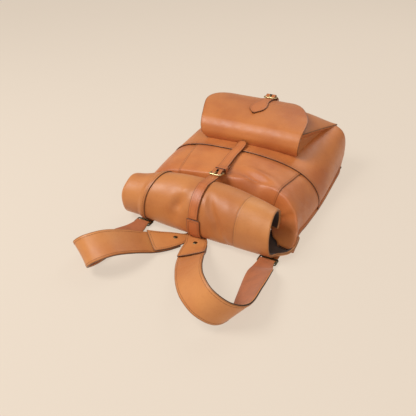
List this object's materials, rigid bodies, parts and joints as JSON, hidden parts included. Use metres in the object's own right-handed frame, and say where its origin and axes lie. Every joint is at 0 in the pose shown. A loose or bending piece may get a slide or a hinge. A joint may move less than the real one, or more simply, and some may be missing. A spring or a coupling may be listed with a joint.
{
  "type": "roll-top backpack",
  "caption": "Leather roll-top backpack lying on its back: rolled mouth held by a buckled strap, bellows front pocket under a buckled flap, wide shoulder straps.",
  "frame": {"origin": "middle of the back panel on the surface that the bag lies on", "axes": "+Z out of the bag's front (the bag lies on its back), -Y towards the rolled top, +Y towards the base, +X across the width"},
  "size_m": [0.3304, 0.5811, 0.1531],
  "materials": {
    "panel_leather": "smooth tan vegetable-tanned leather, satin, fine grain, near-black painted edges",
    "back_leather": "smooth tan leather, satin",
    "pocket_leather": "smooth tan leather, satin, near-black painted edges",
    "strap_leather": "doubled tan strap leather with a crease line and near-black painted edges",
    "fastening_leather": "tan bridle-like leather with near-black painted edges",
    "antique_brass": "antique brass, worn bright on the edges",
    "dark_rivet_metal": "dark antique metal"
  },
  "bodies": {
    "bag": {"back_panel": "back_leather", "base_panel": "back_leather", "lower_wrap": "panel_leather", "side_gusset_left": "panel_leather", "side_gusset_right": "panel_leather", "upper_front_panel": "panel_leather", "roll_yoke_centre": "panel_leather", "roll_yoke_left": "panel_leather", "roll_yoke_right": "panel_leather", "closure_anchor_patch": "fastening_leather", "closure_snap_stud": "dark_rivet_metal", "pocket_front": "pocket_leather", "pocket_gusset_left": "pocket_leather", "pocket_gusset_right": "pocket_leather", "pocket_flap_riser": "pocket_leather", "pocket_snap_stud": "dark_rivet_metal", "shoulder_strap_left": "strap_leather", "shoulder_strap_right": "strap_leather", "strap_tab_left": "strap_leather", "strap_tab_right": "strap_leather", "strap_rivets": "dark_rivet_metal", "adjusting_strap_left": "strap_leather", "adjusting_strap_right": "strap_leather", "adjuster_slide_left": "antique_brass", "adjuster_slide_right": "antique_brass", "lower_strap_tab_left": "strap_leather", "lower_strap_tab_right": "strap_leather"},
    "closure_tail": {"closure_strap": "fastening_leather", "closure_chape": "fastening_leather", "closure_keeper": "fastening_leather", "closure_snap_cap": "dark_rivet_metal"},
    "closure_frame": {"closure_buckle_frame": "antique_brass"},
    "closure_pin": {"closure_buckle_prong": "antique_brass"},
    "flap": {"pocket_flap": "pocket_leather", "pocket_strap": "fastening_leather", "pocket_chape": "fastening_leather", "pocket_keeper": "fastening_leather", "pocket_snap_cap": "dark_rivet_metal"},
    "flap_frame": {"pocket_buckle_frame": "antique_brass"},
    "flap_pin": {"pocket_buckle_prong": "antique_brass"}
  },
  "joints": [
    {"name": "closure_strap_lift", "type": "hinge", "parent": "bag", "child": "closure_tail", "pos_m": [-0.003, -0.21047, 0.04608], "axis": [1, 0, 0], "range_deg": [0, 110]},
    {"name": "closure_frame_tilt", "type": "hinge", "parent": "closure_tail", "child": "closure_frame", "pos_m": [-0.003, -0.118, 0.0929], "axis": [-1, 0, 0], "range_deg": [0, 20]},
    {"name": "closure_prong_swing", "type": "hinge", "parent": "closure_frame", "child": "closure_pin", "pos_m": [-0.003, -0.118, 0.0929], "axis": [-1, 0, 0], "range_deg": [0, 60]},
    {"name": "pocket_flap_lift", "type": "hinge", "parent": "bag", "child": "flap", "pos_m": [0, 0.018, 0.119], "axis": [1, 0, 0], "range_deg": [0, 135]},
    {"name": "pocket_frame_tilt", "type": "hinge", "parent": "flap", "child": "flap_frame", "pos_m": [-0.012, 0.158, 0.1462], "axis": [-1, 0, 0], "range_deg": [0, 20]},
    {"name": "pocket_prong_swing", "type": "hinge", "parent": "flap_frame", "child": "flap_pin", "pos_m": [-0.012, 0.158, 0.1462], "axis": [-1, 0, 0], "range_deg": [0, 60]}
  ]
}
